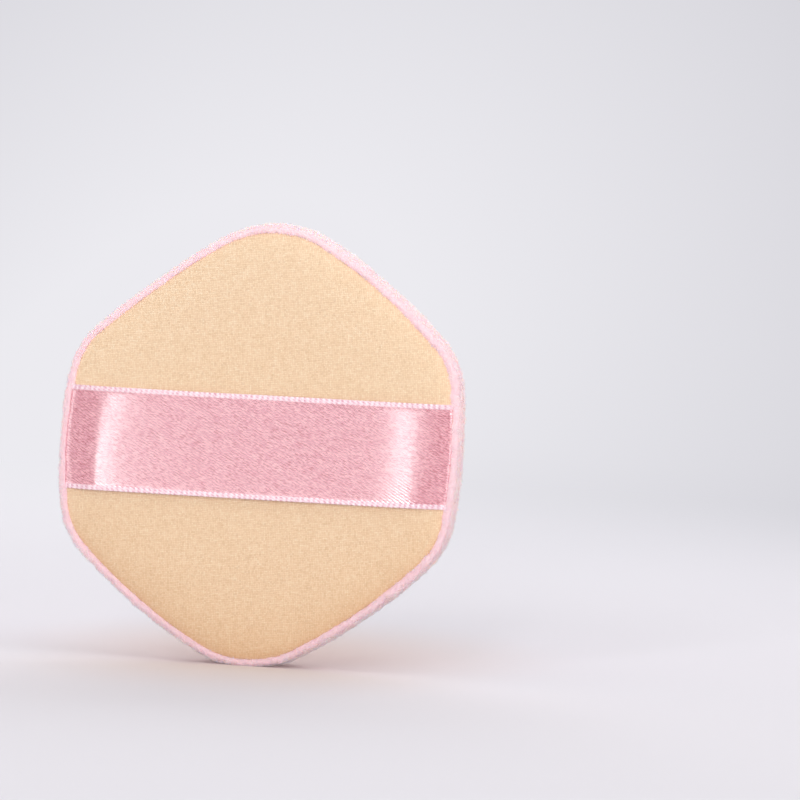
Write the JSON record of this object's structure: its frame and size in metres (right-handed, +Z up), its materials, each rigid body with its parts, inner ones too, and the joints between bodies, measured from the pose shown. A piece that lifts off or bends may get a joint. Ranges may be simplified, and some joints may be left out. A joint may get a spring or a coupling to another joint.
{
  "type": "makeup puff",
  "caption": "Rounded hexagonal makeup puff: plush face over a foam core, crowned cloth backing and a satin finger band sewn into the side seams.",
  "frame": {"origin": "under the middle of the puff, on the flat foot of its lower corner", "axes": "+Z up, from the lower corner to the upper one; +Y from the backing to the plush face; +X along the finger band, to the right as seen from the backing"},
  "size_m": [0.0632, 0.0116, 0.0684],
  "materials": {
    "plush": "short-pile pink plush",
    "foam": "open-cell foam",
    "backing": "fine plain-weave cloth",
    "thread": "sewing thread",
    "satin": "satin ribbon"
  },
  "bodies": {
    "pad": {"plush_cover": "plush", "foam_core": "foam", "backing_cloth": "backing", "seam_thread": "thread"},
    "band": {"finger_band": "satin"}
  },
  "joints": [
    {"name": "band_lift", "type": "slide", "parent": "pad", "child": "band", "axis": [0, -1, 0], "range_m": [0, 0.008], "stiffness_N_per_m": 10, "deforming": ["finger_band"]}
  ]
}
